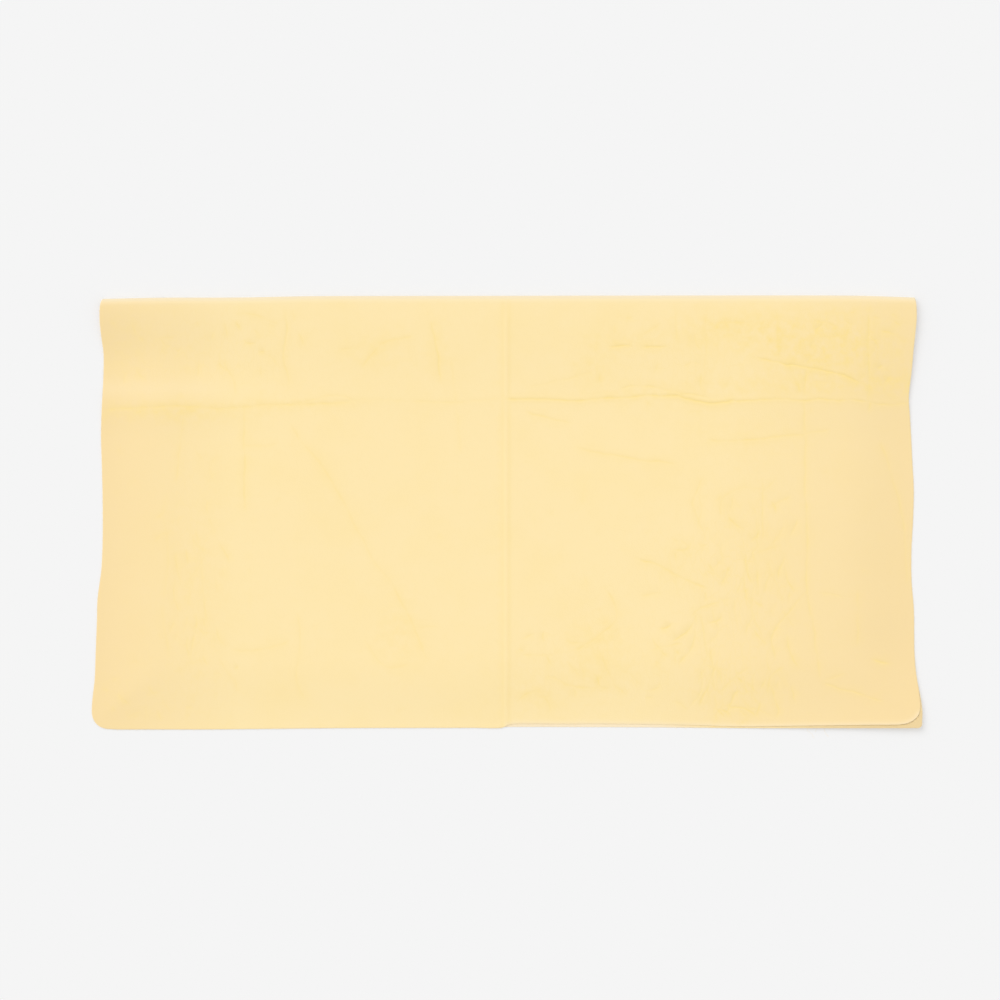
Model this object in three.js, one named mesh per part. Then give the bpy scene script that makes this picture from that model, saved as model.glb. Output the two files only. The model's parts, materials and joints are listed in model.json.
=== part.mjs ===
// A chamois leather: one soft sheet of oil tanned skin, butter yellow, cut with rounded corners
// and lying folded once, with a soft roll along the fold. Lengths are millimetres. X runs along
// the fold, +Y points to the fold and +Z is up. The origin is the middle of the folded outline,
// on the surface that the leather lies on.
//
// The leather is one piece. It is divided only along the lines that it bends on: the fold, and
// the pack crease that crosses both leaves. That gives four panels, each a closed solid.

import * as THREE from 'three';

const { lerp, smoothstep, degToRad } = THREE.MathUtils;

// The sheet as it lies folded
const FOLDED_WIDTH = 540;
const FOLDED_DEPTH = 282;
const SHEET_THICKNESS = 1;
const LEAF_GAP = 0.3;

// The fold: the open height inside its roll, and the length over which the upper leaf comes
// down from the roll to lie on the under leaf
const ROLL_OPENING = 3;
const SETTLE_LENGTH = 34;

// The hand cut edges: how far each wanders in from the straight line that bounds it
const LEFT_WANDER = 8;
const RIGHT_WANDER = 9;
const FOLD_WANDER = 2;
const FRONT_WANDER = 3.6;

// The corners, and how the under leaf lies below the upper one
const CORNER_RADIUS = 9;
const UNDER_RIGHT_CORNER_RADIUS = 2;
const UNDER_FRONT_SET_BACK = 1.4;
const UNDER_LEFT_TUCK = 1.2;

// The pack crease runs along the fold, and the centre crease runs from the fold to the front
const PACK_CREASE_FROM_FOLD = 68;
const PACK_CREASE_HEIGHT = 0.8;
const PACK_CREASE_WIDTH = 18;
const CENTRE_CREASE_X = -1.5;
const CENTRE_CREASE_HEIGHT = 0.6;
const CENTRE_CREASE_WIDTH = 8;

// Both leaves curl up towards the front right corner, the upper one a little further
const UPPER_CORNER_LIFT = 4.2;
const UNDER_CORNER_LIFT = 3.7;
const CORNER_LIFT_ALONG_FRONT = 170;
const CORNER_LIFT_ALONG_SIDE = 62;

// The slit between two panels that bend on each other
const PANEL_GAP = 0.3;

// How finely the panels are divided
const LEAF_STEPS = 12;
const STRIP_STEPS = 7;
const ROLL_STEPS = 5;
const CORNER_STEPS = 5;

// Wander of the edges as [place, share] pairs. A side edge goes from the fold, 0, to the front
// edge, 1. The fold and the front edge go from left, 0, to right, 1.
const leftEdgeShares = [
  [0, 1], [0.015, 0.8], [0.045, 0.7], [0.09, 0.8], [0.14, 0.98], [0.2, 0.95], [0.3, 0.8],
  [0.36, 0.79], [0.47, 0.88], [0.56, 0.88], [0.63, 0.78], [0.7, 0.5], [0.77, 0.39],
  [0.85, 0.33], [0.9, 0.18], [0.94, 0], [1, 0],
];
const bothRightEdgeShares = [
  [0, 0.68], [0.015, 0.53], [0.055, 0.48], [0.1, 0.61], [0.17, 0.82], [0.24, 1], [0.31, 0.87],
  [0.38, 0.76], [0.45, 0.65], [0.52, 0.7], [0.59, 0.81], [0.655, 0.8], [0.72, 0.65], [0.82, 0.6],
];
const upperRightEdgeShares = [
  ...bothRightEdgeShares, [0.87, 0.5], [0.91, 0.32], [0.95, 0.22], [1, 0.22],
];
const underRightEdgeShares = [
  ...bothRightEdgeShares, [0.87, 0.48], [0.91, 0.22], [0.945, 0], [0.99, 0], [1, 0.09],
];
const foldShares = [
  [0, 1], [0.07, 0.68], [0.18, 0.66], [0.26, 0.2], [0.5, 0.05], [0.6, 0], [0.9, 0],
  [0.975, 0.36], [1, 0.85],
];
const frontShares = [
  [0, 0], [0.14, 0], [0.21, 0.11], [0.31, 0.25], [0.49, 0.29], [0.497, 0.32], [0.517, 1],
  [0.64, 0.97], [0.73, 0.75], [0.78, 0.54], [0.85, 0.66], [0.94, 0.86], [1, 0.93],
];

// Columns of each panel, from the left edge, -1, over the centre crease, 0, to the right edge, 1
const ridgeShare = CENTRE_CREASE_WIDTH / FOLDED_WIDTH;
const columnShares = [
  -1, -0.93, -0.8, -0.65, -0.5, -0.35, -0.18, -ridgeShare, 0, ridgeShare,
  0.045, 0.2, 0.35, 0.5, 0.65, 0.8, 0.93, 1,
];

const LEAF_COLOUR = 0xfee7ae;
const UNDER_COLOUR = 0xf0d5a2;
const LEATHER_ROUGHNESS = 0.92;

// Heights and places that follow from the sizes above
const rollRadius = SHEET_THICKNESS + ROLL_OPENING / 2;
const rollMidRadius = rollRadius - SHEET_THICKNESS / 2;
const underMiddle = SHEET_THICKNESS / 2;
const upperMiddle = SHEET_THICKNESS + LEAF_GAP + SHEET_THICKNESS / 2;
const crestMiddle = 2 * rollRadius - SHEET_THICKNESS / 2;
const backY = FOLDED_DEPTH / 2;
const frontY = -FOLDED_DEPTH / 2;
const creaseY = backY - PACK_CREASE_FROM_FOLD;

// A function that reads a table of pairs as straight stretches between its places
function tableReader(pairs) {
  const places = pairs.map(([place]) => place);
  const values = pairs.map(([, value]) => value);
  const stretches = new THREE.LinearInterpolant(places, values, 1);
  return (place) => stretches.evaluate(place)[0];
}

const leftShareAt = tableReader(leftEdgeShares);
const upperRightShareAt = tableReader(upperRightEdgeShares);
const underRightShareAt = tableReader(underRightEdgeShares);
const foldShareAt = tableReader(foldShares);
const frontShareAt = tableReader(frontShares);

// Share of the folded width at x, from the left, and of the folded depth at y, from the fold
const acrossShare = (x) => (x + FOLDED_WIDTH / 2) / FOLDED_WIDTH;
const placeShare = (y) => (backY - y) / FOLDED_DEPTH;

// Where the roll of the fold begins and ends, a roll's radius in front of the fold line
const tangentY = (x) => backY - FOLD_WANDER * foldShareAt(acrossShare(x)) - rollRadius;

// What is different between the two leaves: their outlines, and which way the outer face looks
const underSheet = {
  outward: -1,
  left: (place) => -FOLDED_WIDTH / 2 + LEFT_WANDER * leftShareAt(place) + UNDER_LEFT_TUCK * place,
  right: (place) => FOLDED_WIDTH / 2 - RIGHT_WANDER * underRightShareAt(place),
  front: () => frontY + UNDER_FRONT_SET_BACK,
  leftCorner: CORNER_RADIUS,
  rightCorner: UNDER_RIGHT_CORNER_RADIUS,
  middle: (x, y) => underMiddle + UNDER_CORNER_LIFT * cornerShare(x, y),
};
const upperSheet = {
  outward: 1,
  left: (place) => -FOLDED_WIDTH / 2 + LEFT_WANDER * leftShareAt(place),
  right: (place) => FOLDED_WIDTH / 2 - RIGHT_WANDER * upperRightShareAt(place),
  front: (x) => frontY + FRONT_WANDER * frontShareAt(acrossShare(x)),
  leftCorner: CORNER_RADIUS,
  rightCorner: CORNER_RADIUS,
  middle: (x, y) => upperMiddle + settleRise(x, y) + creaseRise(x, y)
    + UPPER_CORNER_LIFT * cornerShare(x, y),
};

// The upper leaf comes down from the roll's crest in one soft slope
function settleRise(x, y) {
  const start = tangentY(x);
  return (crestMiddle - upperMiddle) * smoothstep(y, start - SETTLE_LENGTH, start);
}

// Both creases stand up as low ridges, and the centre one fades out towards the roll
function creaseRise(x, y) {
  const pack = ridge(y - creaseY, PACK_CREASE_WIDTH, PACK_CREASE_HEIGHT);
  const centre = ridge(x - CENTRE_CREASE_X, CENTRE_CREASE_WIDTH, CENTRE_CREASE_HEIGHT);
  const start = tangentY(x);
  return Math.max(pack, centre * (1 - smoothstep(y, start - SETTLE_LENGTH, start)));
}

function ridge(distance, width, height) {
  return height * Math.max(0, 1 - Math.abs(distance) / (width / 2));
}

// How much of the front right corner's lift a place has, from 0 to 1
function cornerShare(x, y) {
  const alongFront = Math.max(0, 1 - (FOLDED_WIDTH / 2 - x) / CORNER_LIFT_ALONG_FRONT);
  const alongSide = Math.max(0, 1 - (y - frontY) / CORNER_LIFT_ALONG_SIDE);
  return alongFront ** 2 * alongSide ** 2;
}

// How far a round corner cuts a row short at each end
function cornerTrim(fromFront, radius) {
  const rise = Math.max(0, radius - fromFront);
  return radius - Math.sqrt(Math.max(0, radius * radius - rise * rise));
}

// A row lies across the sheet. Its middle function gives the middle of the skin at x, and the
// direction that the outer face looks in, both as a [y, z] pair.
function makeRow(sheet, nominalY, fromFront, middle) {
  const place = placeShare(nominalY);
  const left = sheet.left(place) + cornerTrim(fromFront, sheet.leftCorner);
  const right = sheet.right(place) - cornerTrim(fromFront, sheet.rightCorner);
  return columnShares.map((share) => {
    const edge = share < 0 ? left : right;
    const x = lerp(CENTRE_CREASE_X, edge, Math.abs(share));
    const { at, outward } = middle(x);
    const skin = (side) => new THREE.Vector3(
      x,
      at[0] + (side * outward[0] * SHEET_THICKNESS) / 2,
      at[1] + (side * outward[1] * SHEET_THICKNESS) / 2,
    );
    return { outer: skin(1), inner: skin(-1) };
  });
}

// Rows of a leaf, from the pack crease to the front edge. They close up at the round corners.
function leafRows(sheet) {
  const run = creaseY - frontY;
  const ridgeFoot = PACK_CREASE_WIDTH / 2;
  const cornerStart = run - CORNER_RADIUS;
  const distances = [PANEL_GAP / 2];
  for (let step = 0; step <= LEAF_STEPS; step += 1) {
    distances.push(lerp(ridgeFoot, cornerStart, step / LEAF_STEPS));
  }
  for (let step = 1; step <= CORNER_STEPS; step += 1) {
    const turn = degToRad(90 * (step / CORNER_STEPS));
    distances.push(cornerStart + CORNER_RADIUS * Math.sin(turn));
  }
  return distances.map((distance) => makeRow(
    sheet,
    creaseY - distance,
    run - distance,
    (x) => {
      const y = lerp(creaseY, sheet.front(x), distance / run);
      return { at: [y, sheet.middle(x, y)], outward: [0, sheet.outward] };
    },
  ));
}

// Rows of a strip, from the pack crease to the apex of the fold
function stripRows(sheet) {
  const run = backY - rollRadius - creaseY;
  const distances = [PANEL_GAP / 2];
  for (let step = 0; step <= STRIP_STEPS; step += 1) {
    distances.push(lerp(PACK_CREASE_WIDTH / 2, run, step / STRIP_STEPS));
  }
  const flat = distances.map((distance) => makeRow(
    sheet,
    creaseY + distance,
    Infinity,
    (x) => {
      const y = lerp(creaseY, tangentY(x), distance / run);
      return { at: [y, sheet.middle(x, y)], outward: [0, sheet.outward] };
    },
  ));
  return flat.concat(rollRows(sheet));
}

// Rows of a quarter of the roll, from its tangent to the apex, short of it by half the slit
function rollRows(sheet) {
  const apexTurn = Math.PI / 2 - PANEL_GAP / 2 / rollRadius;
  const rows = [];
  for (let step = 1; step <= ROLL_STEPS; step += 1) {
    const turn = apexTurn * (step / ROLL_STEPS);
    const reach = Math.sin(turn);
    const height = sheet.outward * Math.cos(turn);
    rows.push(makeRow(sheet, backY - rollRadius + rollRadius * reach, Infinity, (x) => ({
      at: [tangentY(x) + rollMidRadius * reach, rollRadius + rollMidRadius * height],
      outward: [reach, height],
    })));
  }
  return rows;
}

// A closed solid between the outer and the inner face of its rows. The rows follow the sheet
// from the under leaf's front edge, round the fold, to the upper leaf's front edge.
function panelGeometry(rows) {
  const positions = [];
  const columns = columnShares.length;
  const add = (...corners) => corners.forEach((corner) => positions.push(...corner.toArray()));
  const quad = (a, b, c, d) => {
    add(a, b, c);
    add(a, c, d);
  };
  for (let row = 0; row + 1 < rows.length; row += 1) {
    const [here, next] = [rows[row], rows[row + 1]];
    for (let column = 0; column + 1 < columns; column += 1) {
      const beside = column + 1;
      quad(here[column].outer, next[column].outer, next[beside].outer, here[beside].outer);
      quad(here[column].inner, here[beside].inner, next[beside].inner, next[column].inner);
    }
    const last = columns - 1;
    quad(here[0].outer, here[0].inner, next[0].inner, next[0].outer);
    quad(here[last].outer, next[last].outer, next[last].inner, here[last].inner);
  }
  const [first, end] = [rows[0], rows[rows.length - 1]];
  for (let column = 0; column + 1 < columns; column += 1) {
    const beside = column + 1;
    quad(first[column].outer, first[beside].outer, first[beside].inner, first[column].inner);
    quad(end[column].outer, end[column].inner, end[beside].inner, end[beside].outer);
  }
  const geometry = new THREE.BufferGeometry();
  geometry.setAttribute('position', new THREE.Float32BufferAttribute(positions, 3));
  geometry.computeVertexNormals();
  return geometry;
}

function makePanel(name, rows, colour) {
  const leather = new THREE.MeshStandardMaterial({
    color: colour,
    roughness: LEATHER_ROUGHNESS,
    metalness: 0,
  });
  const panel = new THREE.Mesh(panelGeometry(rows), leather);
  panel.name = name;
  return panel;
}

const chamois = new THREE.Group();
chamois.add(makePanel('under_leaf', leafRows(underSheet).reverse(), UNDER_COLOUR));
chamois.add(makePanel('under_strip', stripRows(underSheet), UNDER_COLOUR));
chamois.add(makePanel('upper_strip', stripRows(upperSheet).reverse(), LEAF_COLOUR));
chamois.add(makePanel('upper_leaf', leafRows(upperSheet), LEAF_COLOUR));

export default chamois;
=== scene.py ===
# A chamois leather: one soft sheet of oil tanned skin, butter yellow, cut with rounded corners and
# lying folded once. The sheet's own sizes and places are millimetres in the frame of the packed
# model: x runs along the fold, +y points to the fold and +z is up. Meshes are made in metres.

import json
import math

import bmesh
import bpy
import numpy as np
from mathutils.geometry import delaunay_2d_cdt
from mathutils.kdtree import KDTree
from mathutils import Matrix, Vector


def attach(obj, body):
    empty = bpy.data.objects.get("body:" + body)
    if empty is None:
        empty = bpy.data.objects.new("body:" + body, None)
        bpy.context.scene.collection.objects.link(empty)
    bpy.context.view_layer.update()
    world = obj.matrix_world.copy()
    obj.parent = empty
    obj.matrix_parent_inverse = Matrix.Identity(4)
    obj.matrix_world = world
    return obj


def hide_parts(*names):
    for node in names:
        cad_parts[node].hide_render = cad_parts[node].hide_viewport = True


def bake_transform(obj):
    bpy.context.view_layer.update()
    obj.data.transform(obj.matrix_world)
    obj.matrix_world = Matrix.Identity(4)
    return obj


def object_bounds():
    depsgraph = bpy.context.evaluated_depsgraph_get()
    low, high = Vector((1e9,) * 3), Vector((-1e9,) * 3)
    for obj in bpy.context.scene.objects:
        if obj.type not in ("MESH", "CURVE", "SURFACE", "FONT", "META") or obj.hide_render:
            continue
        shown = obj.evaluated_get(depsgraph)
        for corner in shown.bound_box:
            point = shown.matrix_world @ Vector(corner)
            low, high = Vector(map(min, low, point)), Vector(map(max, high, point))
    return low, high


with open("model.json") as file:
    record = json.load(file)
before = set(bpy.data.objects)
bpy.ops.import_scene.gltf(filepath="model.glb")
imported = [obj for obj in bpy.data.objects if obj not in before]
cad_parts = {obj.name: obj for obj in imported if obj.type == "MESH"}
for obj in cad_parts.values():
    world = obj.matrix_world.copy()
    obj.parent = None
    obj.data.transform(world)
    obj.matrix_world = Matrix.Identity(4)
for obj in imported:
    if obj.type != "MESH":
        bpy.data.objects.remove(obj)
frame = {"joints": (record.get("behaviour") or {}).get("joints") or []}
cad_low, cad_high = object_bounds()

# The upper leaf
# The half of the sheet that lies on top, from the crest of the rolled fold to its front edge. It is
# buffed skin about a millimetre thick, thinning gently out to its cut edges, and it carries every
# crease that shows.

MM = 0.001
THICKNESS = 1.0
EDGE_THICKNESS = 0.22
EDGE_THINS_OVER = 45
LEAF_GAP = 0.3
EDGE_GAP = 0.03
UPPER_MIDDLE = THICKNESS + LEAF_GAP + THICKNESS / 2
UPPER_EDGE_MIDDLE = EDGE_THICKNESS + EDGE_GAP + EDGE_THICKNESS / 2

# Pixels of the photograph that the model's box has as its left, right and fold sides
LEFT_PX = 91.5
RIGHT_PX = 923.0
FOLD_PX = 295.6
px_mm = (cad_high.x - cad_low.x) / MM / (RIGHT_PX - LEFT_PX)


def x_at(px):
    """Columns of the photograph's pixels as x in millimetres."""
    return cad_low.x / MM + (np.array(px, float) - LEFT_PX) * px_mm


def placed(points):
    """Points of the photograph, in its pixels, as x and y in millimetres."""
    px = np.array(points, float)
    return np.column_stack([x_at(px[:, 0]), cad_high.y / MM - (px[:, 1] - FOLD_PX) * px_mm])


def distances(line):
    """How far along the line each of its points is."""
    return np.concatenate([[0], np.cumsum(np.linalg.norm(np.diff(line, axis=0), axis=1))])


def even_steps(line, step):
    """The same line with its points an even step apart."""
    along = distances(line)
    at = np.linspace(0, along[-1], max(2, round(along[-1] / step) + 1))
    return np.column_stack([np.interp(at, along, values) for values in line.T])


CURVE_PARTS = 12


def smooth_line(points, step):
    """A smooth curve through all the points, as new points an even step apart."""
    p = np.array(points, float)
    p = np.concatenate([[2 * p[0] - p[1]], p, [2 * p[-1] - p[-2]]])
    gaps = np.sqrt(np.linalg.norm(np.diff(p, axis=0), axis=1))[:, None]
    speed = np.diff(p, axis=0) / gaps
    across = (p[2:] - p[:-2]) / (gaps[1:] + gaps[:-1])
    slope = speed[:-1] + speed[1:] - across
    start, end, gap = p[1:-2], p[2:-1], gaps[1:-1]
    parts = []
    for t in np.linspace(0, 1, CURVE_PARTS, endpoint=False):
        parts.append(
            start * (1 + 2 * t) * (1 - t) ** 2
            + end * t * t * (3 - 2 * t)
            + slope[:-1] * gap * t * (1 - t) ** 2
            + slope[1:] * gap * t * t * (t - 1)
        )
    line = np.stack(parts, axis=1).reshape(-1, p.shape[1])
    return even_steps(np.concatenate([line, p[-2:-1]]), step)


def smooth_step(value, low, high):
    """0 below low and 1 above high, with a soft rise between them."""
    t = np.clip((value - low) / (high - low), 0, 1)
    return t * t * (3 - 2 * t)


def bell(distance, reach):
    """1 at no distance, falling softly to both sides."""
    return np.exp(-((distance / reach) ** 2))


def fading(distance, width):
    """1 at no distance, falling steeply at first, and 0 from this width on."""
    return np.clip(1 - distance / width, 0, 1) ** 2


def left_normals(line):
    """The direction to the left of the line at each of its points."""
    tangent = np.gradient(line, axis=0)
    normal = np.column_stack([-tangent[:, 1], tangent[:, 0]])
    return normal / np.linalg.norm(normal, axis=1)[:, None]


# The cut edge of the upper leaf as the photograph shows it, from the left end of the fold round
# the front to the right end of the fold, and the line of the fold itself
LEFT_EDGE_PX = [
    (104.6, 297.6), (102.2, 300), (101.2, 302), (100.3, 306), (99.9, 320), (100.6, 330),
    (101.7, 340), (103.1, 350), (103.5, 360), (103.0, 380), (102.0, 400), (101.1, 420),
    (100.8, 440), (101.4, 460), (102.4, 500), (102.4, 540), (101.1, 570), (99.8, 580),
    (97.2, 600), (96.7, 620), (95.5, 650), (94.4, 680), (93.2, 690), (92.1, 700),
]
FRONT_EDGE_PX = [
    (91.5, 710), (92.0, 716), (93.9, 721), (97.6, 725.4), (103.3, 728.3), (112, 729.4),
    (150, 729.6), (205, 729.6), (267, 729.0), (350, 728.2), (470, 728.0), (503, 727.7),
    (508, 725.2), (514, 724.2), (560, 724.1), (620, 724.1), (700, 725.5), (741, 726.6),
    (795, 725.9), (871, 724.8), (899, 724.4), (907, 723.1), (914.4, 719.2), (918.9, 713.4),
]
RIGHT_EDGE_PX = [
    (920.3, 706), (920.0, 702), (918.3, 687), (915.9, 670), (914.6, 650), (914.1, 610),
    (911.8, 580), (911.7, 550), (913.3, 520), (914.0, 490), (912.5, 460), (910.9, 430),
    (909.6, 410), (908.9, 400), (909.4, 390), (911.7, 370), (913.4, 350), (915.4, 330),
    (916.3, 320), (916.3, 310), (915.6, 302), (913.9, 296.8),
]
FOLD_LINE_PX = [
    (88, 298.6), (104, 298.3), (150, 297.7), (240, 297.5), (308, 296.2), (400, 295.9),
    (500, 295.8), (600, 295.6), (860, 295.7), (904, 296.6), (930, 297.6),
]
EDGE_STEP = 1.2
left_edge = smooth_line(placed(LEFT_EDGE_PX), EDGE_STEP)
right_edge = smooth_line(placed(RIGHT_EDGE_PX), EDGE_STEP)
upper_edge = smooth_line(placed(LEFT_EDGE_PX + FRONT_EDGE_PX + RIGHT_EDGE_PX), EDGE_STEP)
fold_line = smooth_line(placed(FOLD_LINE_PX), EDGE_STEP)


def left_x(y):
    return np.interp(-y, -left_edge[:, 1], left_edge[:, 0])


def right_x(y):
    return np.interp(y, right_edge[:, 1], right_edge[:, 0])


def fold_y(x):
    return np.interp(x, fold_line[:, 0], fold_line[:, 1])


def from_edge(points, edge):
    """How far each point is from the nearest place of an edge."""
    places = even_steps(edge, EDGE_STEP / 3)
    tree = KDTree(len(places))
    for i, (x, y) in enumerate(places):
        tree.insert((x, y, 0), i)
    tree.balance()
    return np.array([tree.find((x, y, 0))[2] for x, y in points])


def fullness(points, edge):
    """0 on the cut edge and 1 further in, where the sheet has its full thickness."""
    return smooth_step(from_edge(points, edge), 0, EDGE_THINS_OVER)


def thickness_of(full):
    return EDGE_THICKNESS + (THICKNESS - EDGE_THICKNESS) * full


# The roll of the fold stands fuller at its two ends than in its pressed middle. From its crest the
# sheet settles over these lengths, given at pixels across: soonest at the left, latest at the right.
ROLL_RADIUS = 4
CREST_MIDDLE = 4.5
CREST_PRESSED = 1.0
PRESSED_FROM_END = (40, 150)
SETTLES = [(92, 40), (210, 42), (320, 72), (700, 80), (923, 100)]


def crest_y(x):
    return fold_y(x) - ROLL_RADIUS


def crest_middle(x):
    """The height of the sheet's middle at the crest of the roll."""
    from_end = np.minimum(x - cad_low.x / MM, cad_high.x / MM - x)
    return CREST_MIDDLE - CREST_PRESSED * smooth_step(from_end, *PRESSED_FROM_END)


# Creases as strength, half width and then x and y of each of their points of the photograph
CREASES = [
    (1.00, 1.0, 504, 398, 545, 399.5, 585, 400, 615, 397.5, 640, 396, 664, 396),
    (1.40, 1.0, 656, 396, 672, 396, 700, 401, 719, 402.5, 737, 400),
    (0.70, 1.0, 730, 401, 770, 399.5, 805, 400, 865, 401, 882, 404, 912, 404),
    (0.30, 1.2, 330, 401, 400, 400, 440, 402, 504, 398),
    (0.50, 1.7, 103, 409, 150, 408, 190, 406, 215, 408, 262, 405, 305, 404, 352, 402),
    (0.40, 1.0, 280, 406, 310, 400, 340, 396, 357, 402),
    (0.60, 1.0, 618, 389, 645, 386, 670, 390, 690, 394, 712, 398),
    (0.30, 1.0, 526, 387, 545, 384, 562, 380, 595, 371),
    (1.20, 1.0, 755, 358, 793, 365, 837, 374, 862, 385),
    (0.60, 1.2, 869, 308, 868, 350, 870, 380, 869, 414),
    (0.75, 1.2, 806, 368, 804, 400, 805, 436),
    (0.50, 1.2, 805, 430, 805, 480, 807, 540, 807, 590, 812, 620, 816, 650, 820, 683),
    (0.55, 1.0, 820, 683, 845, 690, 868, 697, 885, 700),
    (0.45, 1.0, 820, 682, 847, 673),
    (0.35, 1.0, 816, 593, 832, 594, 845, 597),
    (0.80, 1.2, 870, 658, 880, 661, 893, 664),
    (0.46, 1.2, 879, 440, 890, 470, 900, 505, 905, 540, 907, 585),
    (0.60, 0.9, 705, 440, 750, 440, 795, 435, 832, 430),
    (0.60, 0.9, 575, 447, 604, 454, 635, 459, 678, 464),
    (0.50, 0.9, 523, 411, 548, 418, 573, 423),
    (0.45, 0.9, 684, 412, 704, 411),
    (0.80, 1.0, 606, 347, 620, 347, 634, 346),
    (0.80, 1.0, 639, 347, 652, 347, 668, 346),
    (0.45, 0.9, 640, 338, 650, 330, 661, 322),
    (0.75, 1.0, 430, 318, 437, 350, 438, 367, 442, 387),
    (0.50, 0.9, 360, 368, 383, 344, 402, 338, 418, 336),
    (0.45, 1.0, 338, 350, 360, 348),
    (0.45, 1.0, 286, 308, 287, 332, 284, 358, 290, 386),
    (0.34, 0.9, 233, 312, 258, 316, 281, 326),
    (0.45, 0.9, 217, 356, 234, 379, 237, 398),
    (0.30, 0.9, 260, 358, 262, 379),
    (0.45, 0.9, 244, 404, 245, 445, 244, 480, 245, 512),
    (0.30, 0.9, 238, 444, 262, 446, 281, 443),
    (0.42, 0.9, 290, 423, 300, 440, 322, 466, 345, 505, 370, 554, 392, 585, 415, 630, 424, 655),
    (0.34, 0.8, 415, 630, 428, 626, 442, 628),
    (0.40, 1.0, 297, 608, 300, 640, 297, 680, 305, 702),
    (0.40, 0.9, 230, 650, 257, 650, 292, 640),
    (0.34, 0.9, 365, 640, 380, 662, 390, 667, 411, 665),
    (0.60, 0.9, 632, 556, 655, 564, 678, 576, 710, 590),
    (0.50, 0.9, 670, 550, 688, 548, 692, 538),
    (0.60, 0.9, 602, 585, 613, 602, 614, 620, 585, 645, 568, 652),
    (0.40, 0.9, 520, 655, 552, 654, 564, 646),
    (0.40, 0.9, 598, 650, 607, 668, 618, 692),
    (0.34, 0.9, 545, 675, 575, 686, 613, 688),
    (0.50, 0.8, 515, 703, 530, 692, 545, 692),
    (0.60, 0.8, 697, 709, 706, 690, 711, 676, 718, 658),
    (0.50, 0.8, 716, 694, 735, 677, 750, 664),
    (0.45, 0.8, 767, 698, 771, 676, 786, 665),
    (0.40, 0.8, 752, 672, 753, 690, 753, 710),
    (0.40, 0.8, 699, 700, 702, 680, 700, 662),
    (0.45, 0.8, 689, 620, 698, 610, 722, 602),
    (0.45, 0.8, 736, 597, 744, 580, 752, 556, 782, 545),
    (0.55, 0.8, 773, 632, 790, 610, 803, 594, 812, 590),
    (0.40, 0.8, 763, 478, 762, 520, 762, 538, 749, 560, 745, 598, 756, 620, 764, 645),
    (0.34, 0.8, 720, 520, 723, 498, 746, 487, 766, 488, 777, 476),
    (0.34, 0.8, 690, 510, 697, 488, 706, 476),
    (0.45, 0.9, 858, 588, 858, 620, 858, 648),
    (0.34, 0.8, 700, 608, 704, 636, 708, 660),
    (0.45, 0.8, 648, 652, 666, 646, 684, 643),
    (0.55, 0.9, 703, 325, 725, 323, 749, 323),
    (0.40, 0.9, 810, 322, 828, 323, 843, 331),
    (0.34, 0.9, 705, 306, 706, 340, 704, 380),
    (0.28, 0.9, 676, 304, 675, 326, 677, 346),
    (0.34, 0.9, 775, 306, 777, 326, 775, 346),
    (0.34, 0.9, 184, 412, 180, 446, 176, 484),
    (0.28, 0.9, 195, 526, 201, 560, 203, 592, 207, 626),
    (0.26, 0.9, 162, 500, 168, 560, 163, 610, 170, 660),
    (0.24, 0.9, 450, 352, 456, 400, 461, 456),
]

# Fields of short crinkles as middle, reach, number, heading, spread of headings, length, strength
# and how much handled the sheet is there: places and lengths in pixels of the photograph, angles in
# degrees and shares from 0 to 1
CRINKLE_FIELDS = [
    ((744, 590), (52, 105), 60, 90, 30, 34, 0.26, 0.60),
    ((735, 688), (36, 26), 26, 70, 40, 30, 0.30, 0.70),
    ((690, 565), (55, 35), 16, 25, 30, 26, 0.22, 0.40),
    ((600, 668), (85, 42), 26, 55, 50, 20, 0.24, 0.50),
    ((850, 345), (55, 38), 34, 10, 60, 18, 0.30, 0.80),
    ((700, 360), (100, 45), 20, 90, 60, 16, 0.22, 0.50),
    ((195, 560), (28, 112), 36, 90, 14, 30, 0.18, 0.45),
    ((205, 350), (100, 42), 32, 50, 50, 15, 0.22, 0.55),
    ((170, 690), (70, 28), 22, 20, 60, 15, 0.22, 0.40),
    ((500, 515), (400, 205), 100, 90, 90, 13, 0.09, 0.00),
]
CRINKLE_SEED = 11
CRINKLE_BENDS = 4
CRINKLE_TURN = 16
CRINKLE_HALF_WIDTH = 0.8
CRINKLE_SHARE = 2.3
CRINKLE_LENGTHS = (0.4, 1.4)
CRINKLE_STRENGTHS = (0.4, 1.3)

# Where the nap has been gripped golden, as strength, middle and reach in pixels of the photograph
GOLDEN_PLACES = [
    (1.30, (825, 346), (68, 30)), (0.85, (735, 328), (55, 16)), (0.65, (800, 386), (120, 9)),
    (0.25, (650, 395), (80, 8)), (0.55, (625, 343), (48, 11)), (0.80, (165, 412), (80, 10)),
    (0.45, (300, 405), (65, 6)), (0.40, (380, 350), (36, 22)), (0.50, (600, 650), (30, 46)),
    (0.45, (535, 690), (26, 24)), (0.15, (740, 690), (50, 24)), (0.20, (762, 440), (60, 22)),
    (0.75, (895, 386), (24, 14)), (0.45, (400, 635), (20, 36)), (0.15, (200, 600), (28, 90)),
    (0.30, (130, 345), (30, 40)), (0.35, (438, 345), (14, 34)), (0.60, (592, 368), (16, 14)),
]


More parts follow.
